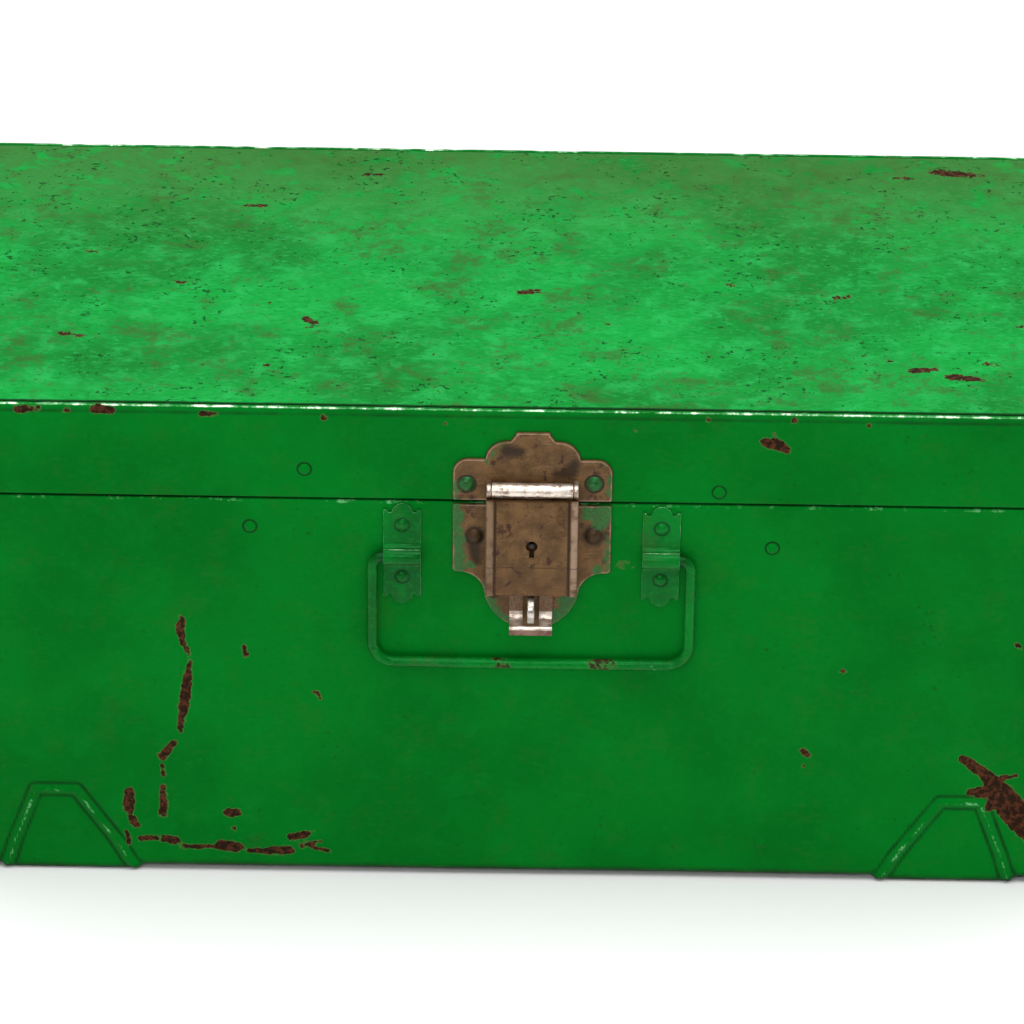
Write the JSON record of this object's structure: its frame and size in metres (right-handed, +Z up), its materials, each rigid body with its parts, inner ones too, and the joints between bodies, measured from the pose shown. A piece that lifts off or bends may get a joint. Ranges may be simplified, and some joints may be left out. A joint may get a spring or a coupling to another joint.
{
  "type": "toolbox with tray",
  "caption": "Green sheet steel toolbox with a hinged lid, a hasp lock, a front bail handle and a lift-out tray.",
  "frame": {"origin": "on the ground under the middle of the closed box", "axes": "+Z up, -Y out of the front with the lock and handle, +X to the right seen from the front"},
  "size_m": [0.432, 0.2564, 0.196],
  "materials": {
    "green_paint": "worn gloss",
    "tray_paint": "worn gloss",
    "bronzed_steel": "dull bronzed",
    "bright_steel": "worn bright",
    "dull_steel": "dull",
    "grip_wood": "worn varnish"
  },
  "bodies": {
    "case": {"case_wrap": "green_paint", "case_end_left": "green_paint", "case_end_right": "green_paint", "tray_rest_front_left": "green_paint", "tray_rest_front_right": "green_paint", "tray_rest_back_left": "green_paint", "tray_rest_back_right": "green_paint", "tray_rest_rivets": "green_paint", "hinge_case_leaf_left": "green_paint", "hinge_case_leaf_right": "green_paint", "hinge_pin_left": "dull_steel", "hinge_pin_right": "dull_steel", "hinge_case_rivets": "green_paint", "lock_lower_plate": "bronzed_steel", "padlock_staple": "bright_steel", "lock_striker": "dull_steel", "lock_lower_rivets": "bronzed_steel", "handle_bracket_left": "green_paint", "handle_bracket_right": "green_paint", "handle_bracket_rivets": "green_paint"},
    "lid": {"lid_skirt": "green_paint", "lid_top": "green_paint", "lid_lip": "green_paint", "lid_lip_rivets": "green_paint", "hinge_lid_leaf_left": "green_paint", "hinge_lid_leaf_right": "green_paint", "hinge_lid_rivets": "green_paint", "lock_upper_plate": "bronzed_steel", "lock_upper_rivets": "green_paint", "hasp_pin": "bright_steel"},
    "hasp": {"hasp_plate": "bright_steel", "hasp_cover": "bronzed_steel", "key_post": "dull_steel", "bolt_stump": "dull_steel", "bolt_spring": "dull_steel"},
    "bolt": {"lock_bolt": "dull_steel"},
    "handle": {"handle_bail": "green_paint"},
    "tray": {"tray_pan": "tray_paint", "tray_long_divider": "tray_paint", "tray_divider_left": "tray_paint", "tray_divider_middle": "tray_paint", "tray_divider_right": "tray_paint", "tray_handle_loops": "tray_paint", "tray_handle_rivets": "dull_steel"},
    "tray_handle": {"tray_bail": "dull_steel", "tray_grip": "grip_wood"}
  },
  "joints": [
    {"name": "lid_hinge", "type": "hinge", "parent": "case", "child": "lid", "pos_m": [0, 0.1203, 0.159], "axis": [-1, 0, 0], "range_deg": [0, 105]},
    {"name": "hasp_hinge", "type": "hinge", "parent": "lid", "child": "hasp", "pos_m": [0.0075, -0.1214, 0.1658], "axis": [-1, 0, 0], "range_deg": [0, 150]},
    {"name": "bolt_slide", "type": "slide", "parent": "hasp", "child": "bolt", "axis": [1, 0, 0], "range_m": [0, 0.0035]},
    {"name": "handle_swing", "type": "hinge", "parent": "case", "child": "handle", "pos_m": [0.0075, -0.11915, 0.137], "axis": [-1, 0, 0], "range_deg": [0, 170]},
    {"name": "tray_lift", "type": "slide", "parent": "case", "child": "tray", "axis": [0, 0, 1], "range_m": [0, 0.055]},
    {"name": "tray_handle_swing", "type": "hinge", "parent": "tray", "child": "tray_handle", "pos_m": [0, 0, 0.1306], "axis": [-1, 0, 0], "range_deg": [0, 90]}
  ]
}
